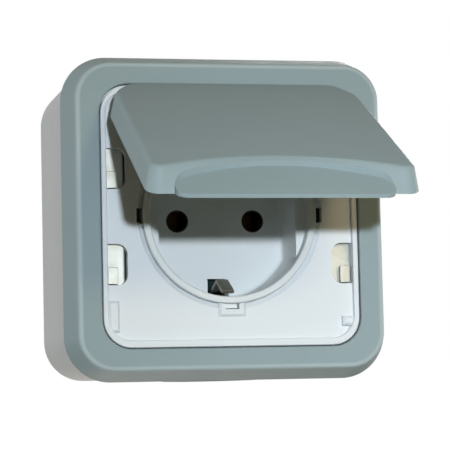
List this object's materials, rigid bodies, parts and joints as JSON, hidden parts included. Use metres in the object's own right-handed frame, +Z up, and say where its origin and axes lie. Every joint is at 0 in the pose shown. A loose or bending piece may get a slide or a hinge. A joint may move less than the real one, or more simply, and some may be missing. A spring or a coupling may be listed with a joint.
{
  "type": "weatherproof outdoor socket",
  "caption": "Surface-mounted outdoor power socket: grey box and frame, white face with a round recessed well, and a hinged grey lid with a finger lip.",
  "frame": {"origin": "centre of the box's back face, on the wall", "axes": "+Y into the wall, +Z up, +X to the right as seen from the front"},
  "size_m": [0.079, 0.1062, 0.078],
  "materials": {
    "grey_shell": "satin",
    "grey_box": "satin",
    "white_face": "semi-gloss",
    "zinc_steel": "zinc plated",
    "screw_steel": "zinc plated",
    "contact_brass": "bare",
    "insulator": "matt",
    "soft_seal": "matt",
    "grey_grommet": "matt"
  },
  "bodies": {
    "housing": {"surface_box": "grey_box", "cable_grommet_top": "grey_grommet", "cable_grommet_bottom": "grey_grommet", "box_gasket": "soft_seal", "front_frame": "grey_shell", "face_plate": "white_face", "support_plate": "zinc_steel", "support_screws": "screw_steel", "socket_well": "white_face", "well_rivets": "screw_steel", "rear_base": "insulator", "base_screws": "screw_steel", "live_contact": "contact_brass", "neutral_contact": "contact_brass", "live_terminal": "contact_brass", "neutral_terminal": "contact_brass", "earth_terminal": "contact_brass", "terminal_screws": "screw_steel", "earth_strip": "zinc_steel", "hinge_pin_left": "screw_steel", "hinge_pin_right": "screw_steel"},
    "cover": {"lid": "grey_shell", "lid_seal": "soft_seal"}
  },
  "joints": [
    {"name": "lid_hinge", "type": "hinge", "parent": "housing", "child": "cover", "pos_m": [0, -0.0538, 0.02775], "axis": [-1, 0, 0], "range_deg": [-62.5, 32.5]}
  ]
}
